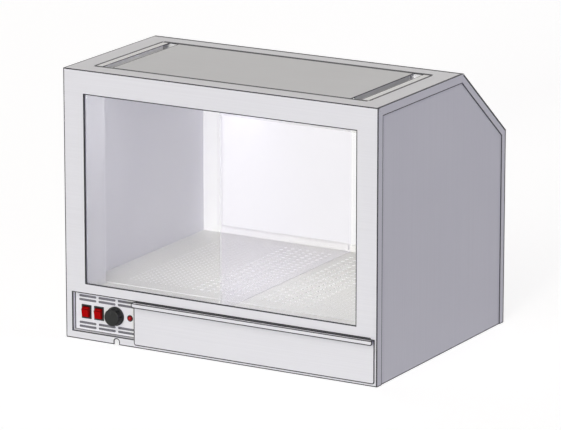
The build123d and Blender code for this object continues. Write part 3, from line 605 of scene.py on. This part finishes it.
# Control panel: a steel sheet, set back in the cut-out beside the drawer, drawn white as painted light
# against the shade of the recess.
# It is laser cut with vent slots and with holes for the controls.
panel_finishes = [white_enamel, laser_cut_edge, bend_line]
panel_burr = 0.0012
skin_piece("control_panel", "white_enamel", panel_finishes, sheet_edge, panel_burr, shortest=0.04)

# Vent filters: two strips of grey foam behind the rows of vent slots, to keep dust out of the bay.
# They are cut from sheet and clipped to the back of the control panel.
# Open-celled polyurethane foam is grey and dull, with pores about 2 mm wide.
filter_foam = moulded("open_cell_polyurethane_foam", "#56565A", "#96969C", 0.002, 0.8, 0.95, 0.0008)
foam_thickness = 0.005
foam_height = 0.019
foam_offset = 0.0311
foam_margin = 0.004
foam_round = 0.0012
foam_clearance = 0.0003
panel_low, panel_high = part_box("control_panel")
switch_low, switch_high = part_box("left_switch_body")
control_line = (switch_low[2] + switch_high[2]) / 2
foam_length = panel_high[0] - panel_low[0] - 2 * foam_margin
foam_x = (panel_low[0] + panel_high[0]) / 2
foam_y = panel_high[1] + foam_clearance + foam_thickness / 2
for name, offset in (("lower", -foam_offset), ("upper", foam_offset)):
    foam = bmesh.new()
    bmesh.ops.create_cube(foam, size=1.0)
    bmesh.ops.scale(foam, verts=foam.verts, vec=(foam_length, foam_thickness, foam_height))
    bmesh.ops.bevel(
        foam,
        geom=foam.edges,
        offset=foam_round,
        offset_type="OFFSET",
        affect="EDGES",
        segments=2,
        profile=0.5,
        material=-1,
    )
    bmesh.ops.translate(foam, verts=foam.verts, vec=(foam_x, foam_y, control_line + offset))
    made_piece(name + "_vent_filter", foam, "cabinet", "black_plastic", [filter_foam])

# Switches: two snap-in rocker switches with moulded black housings and red rockers that tilt on two pins.
# Glass-filled nylon moulds to a dark, slightly grainy black.
housing_nylon = moulded("black_glass_filled_nylon", "#141213", "#1E1B1C", 0.0006, 0.42, 0.58, 0.00006)
# Red polycarbonate is red through its depth, so it looks deep, with a satin skin and still darker edges.
rocker_red = moulded("red_polycarbonate", "#A80002", "#B40204", 0.003, 0.4, 0.5, 0.00003)
rocker_edge = moulded("red_polycarbonate_edge", "#780003", "#840204", 0.003, 0.4, 0.5, 0.00003)
for red in (rocker_red, rocker_edge):
    set_surface(red, {"Specular IOR Level": 0.08})
housing_round = 0.0004
rocker_round = 0.0006
rocker_line = 0.0004
for side in ("left", "right"):
    skin_piece(side + "_switch_body", "black_plastic", [housing_nylon], housing_round)
    skin_piece(side + "_rocker", "red_plastic", [rocker_red, rocker_edge], rocker_round, rocker_line)

# Thermostat: a black phenolic knob pressed on a steel spindle, the switch body behind the panel, and a copper
# probe on a capillary. Phenolic resin moulds to a satin black, and its edges polish darker with handling.
knob_black = moulded("black_phenolic", "#1C1D1C", "#262726", 0.0009, 0.42, 0.55, 0.00008)
knob_edge = moulded("handled_black_phenolic", "#060606", "#0C0C0C", 0.0009, 0.3, 0.4, 0.00004)
for black in (knob_black, knob_edge):
    set_surface(black, {"Specular IOR Level": 0.3})
knob_round = 0.0006
skin_piece("knob", "black_plastic", [knob_black, knob_edge], knob_round, turned=True)
paint(housing_nylon, "thermostat_body")
paint(steel_along_y, "thermostat_spindle")
# Drawn copper is salmon pink, with fine lines along the tube.
probe_copper = satin_stainless("drawn_copper", 1, "#B5674A", "#CB8262")
paint(probe_copper, "thermostat_probe")

# Pilot lamp: a moulded black nylon body, snapped into the panel, with a lens of polycarbonate.
# The lens is domed and glossy, and a deep, unlit red.
pilot_round = 0.0003
skin_piece("pilot_body", "black_plastic", [housing_nylon], pilot_round, turned=True)
lens_red = moulded("red_lens_polycarbonate", "#8C060C", "#A01016", 0.002, 0.2, 0.28, 0.00003)
set_surface(lens_red, {"Specular IOR Level": 0.25})
lens_round = 0.0002
skin_piece("pilot_lens", "red_plastic", [lens_red], lens_round, turned=True)

# Mains entry: a white terminal block on the base plate, and a black nylon gland behind the cable notch.
# Both are moulded. The block is screwed down, and the gland is put through the base plate.
paint(white_plastic, "terminal_block")
paint(housing_nylon, "cable_gland")

# Fan heater: a stainless bulkhead in the control bay with an axial fan in front of a heating element.
# The fan is moulded of black nylon and held by steel screws. The element is bent from sheathed tube.
paint(steel_along_x, "fan_bulkhead")
paint(housing_nylon, "fan_frame", "fan_impeller")
paint(steel_along_y, "fan_screws")
# The sheath of a tubular heater turns straw, brown and blue-grey with heat.
heater_sheath = satin_stainless("heat_tinted_incoloy", 1, "#5B5452", "#8B7A66")
paint(heater_sheath, "heater_element")

# Drawer: a folded stainless tray on nylon runners, with an overlay front of the same steel.
# The upper edge of the front is folded forwards into a lip, which is the pull.
skin_piece("drawer_front", "stainless_steel", sheet_finishes, sheet_edge, burr_width)
paint(steel_along_y, "drawer_tray")
# Natural nylon is a warm, waxy white.
runner_nylon = moulded("natural_nylon", "#DAD8CE", "#E5E3DA", 0.0015, 0.4, 0.55, 0.00006)
paint(runner_nylon, "drawer_runners")

# Serving flap: a clear acrylic sheet on the slope, with polished edges and a bent stainless pull.
# Two steel hinges carry it, screwed to the shell and to the sheet.
flap_finishes = [clean_acrylic, polished_edge]
skin_piece("flap_pane", "clear_acrylic", flap_finishes, flame_round, narrow=widest_edge)
skin_piece("flap_pull", "stainless_steel", [steel_along_x], sheet_edge)
# Polished hinge steel is a shade darker than the satin sheet.
hinge_steel = satin_stainless("polished_hinge_steel", 0, "#B9B9BC", "#CFCFD2")
paint(hinge_steel, "flap_hinge_bases", "flap_hinge_leaves", "flap_hinge_pins")
# Each leaf is held by two socket button screws with 7 mm heads, set square to the slope.
slope_start = Vector((0.0, 0.0977, 0.622))
slope_angle = math.radians(39.125)
down_slope = Vector((0.0, math.cos(slope_angle), -math.sin(slope_angle)))
off_slope = Vector((0.0, math.sin(slope_angle), math.cos(slope_angle)))
hinge_offset = 0.25
screw_offset = 0.011
# Radius and height of each point from the bottom of the socket to the rim of the head.
head_profile = [
    (0.0, 0.0006),
    (0.0011, 0.0006),
    (0.0012, 0.0017),
    (0.0022, 0.0015),
    (0.0031, 0.0009),
    (0.0035, 0.0),
]
for body, along_slope, height in (("cabinet", 0.014, 0.0015), ("flap", 0.047, 0.0068)):
    heads = bmesh.new()
    for hinge in (-hinge_offset, hinge_offset):
        for across in (hinge - screw_offset, hinge + screw_offset):
            foot = slope_start + along_slope * down_slope + height * off_slope + Vector((across, 0.0, 0.0))
            rim = [heads.verts.new(foot + Vector((r, 0.0, 0.0)) + up * off_slope) for r, up in head_profile]
            steps = [heads.edges.new(pair) for pair in zip(rim, rim[1:])]
            bmesh.ops.spin(
                heads,
                geom=rim + steps,
                cent=foot,
                axis=off_slope,
                angle=2 * math.pi,
                steps=12,
                use_merge=True,
            )
    bmesh.ops.remove_doubles(heads, verts=heads.verts, dist=0.000005)
    rims = [edge for edge in heads.edges if edge.is_boundary]
    bmesh.ops.holes_fill(heads, edges=rims, sides=0)
    bmesh.ops.recalc_face_normals(heads, faces=heads.faces)
    made_piece(body + "_hinge_screws", heads, body, "hinge_steel", [hinge_steel])

# Studio floor: a wide board under the case, painted pale and matt.
# It is lit by the lamps, so that it keeps the shadow, and glows for the camera, in metal and through
# panes, so that it meets the white backdrop without a line.
board_size = 30.0
board_drop = 0.0005
board = bmesh.new()
bmesh.ops.create_grid(board, x_segments=1, y_segments=1, size=board_size)
bmesh.ops.translate(board, verts=board.verts, vec=(0.0, 0.0, -board_drop))
board_mesh = bpy.data.meshes.new("floor_board")
board.to_mesh(board_mesh)
board.free()
floor_board = bpy.data.objects.new("floor_board", board_mesh)
bpy.context.scene.collection.objects.link(floor_board)
pale_floor = bpy.data.materials.new("pale_floor")
pale_floor.use_nodes = True
floor_tree = pale_floor.node_tree
floor_tree.nodes.remove(floor_tree.nodes["Principled BSDF"])


def seen_directly(tree):
    """1 for what the camera sees, also in metal and through panes, and 0 for light that things receive."""
    ray = add(tree, "ShaderNodeLightPath")
    share = ray.outputs["Is Camera Ray"]
    for kind in ("Is Glossy Ray", "Is Transmission Ray"):
        either = add(tree, "ShaderNodeMath", {"operation": "MAXIMUM"}, {0: share, 1: ray.outputs[kind]})
        share = either.outputs[0]
    return share


floor_glow = add(
    floor_tree, "ShaderNodeMath", {"operation": "MULTIPLY", 1: 0.8}, {0: seen_directly(floor_tree)}
)
floor_light = add(floor_tree, "ShaderNodeEmission", {}, {"Strength": floor_glow.outputs[0]})
floor_paint = add(floor_tree, "ShaderNodeBsdfDiffuse", {"Color": linear("#A4A4A4")})
floor_both = add(
    floor_tree, "ShaderNodeAddShader", {}, {0: floor_light.outputs[0], 1: floor_paint.outputs[0]}
)
floor_tree.links.new(floor_both.outputs[0], floor_tree.nodes["Material Output"].inputs["Surface"])
board_mesh.materials.append(pale_floor)

# Backdrop: white for the camera, in metal and through panes.
# For the light that things receive it is low, slightly cool and even all round.
studio = bpy.data.worlds.new("studio")
bpy.context.scene.world = studio
studio.use_nodes = True
sky = studio.node_tree
sky_strength = add(sky, "ShaderNodeMapRange", {"To Min": 0.2, "To Max": 1.0}, {"Value": seen_directly(sky)})
sky_shade = add(
    sky,
    "ShaderNodeMix",
    {"data_type": "RGBA", 6: linear("#E2E0F6"), 7: linear("#FFFFFF")},
    {0: seen_directly(sky)},
)
sky.links.new(sky_shade.outputs[2], sky.nodes["Background"].inputs["Color"])
sky.links.new(sky_strength.outputs["Result"], sky.nodes["Background"].inputs["Strength"])

# Lamps: a soft key light from the front, a second one from higher up, a warmer one overhead, a back light
# and a cool fill from the right, which reaches the left wall of the chamber through the window.


def soft_lamp(name, source, spread, strength, shade):
    """A far, wide lamp that lights everything evenly from one direction."""
    lamp = bpy.data.lights.new(name, "SUN")
    lamp.angle = math.radians(spread)
    lamp.energy = strength
    lamp.color = linear(shade)[:3]
    holder = bpy.data.objects.new(name, lamp)
    holder.rotation_euler = Vector(source).to_track_quat("Z", "Y").to_euler()
    bpy.context.scene.collection.objects.link(holder)
    return holder


soft_lamp("key_lamp", (0.16, -1.0, 0.16), 12.0, 1.74, "#FDFDF4")
soft_lamp("upper_lamp", (0.05, -0.75, 0.7), 40.0, 0.75, "#FFFCF4")
soft_lamp("overhead_lamp", (0.0, 0.3, 1.0), 40.0, 0.3, "#FFF0C8")
back_lamp = soft_lamp("back_lamp", (-0.3, 1.0, 0.06), 40.0, 0.8, "#FFFFFF")
# It lies so low behind the case that its sheen on the top would dazzle.
back_lamp.visible_glossy = False
soft_lamp("cool_fill_lamp", (0.7, -0.7, 0.06), 15.0, 0.62, "#B6AEFF")

# Camera: a long lens, far off to the right of the front and a little above it.
# Its place, its turn and its lens come from a fit to the straight edges of the case in the photo.
view = bpy.data.cameras.new("camera")
view.sensor_fit = "HORIZONTAL"
view.sensor_width = 36.0
view.lens = 282.26
view.clip_end = 100.0
camera = bpy.data.objects.new("camera", view)
camera.location = (4.7929, -8.3175, 2.7502)
camera.rotation_euler = (math.radians(75.51), 0.0, math.radians(30.01))
bpy.context.scene.collection.objects.link(camera)
bpy.context.scene.camera = camera
bpy.context.scene.view_settings.view_transform = "Standard"
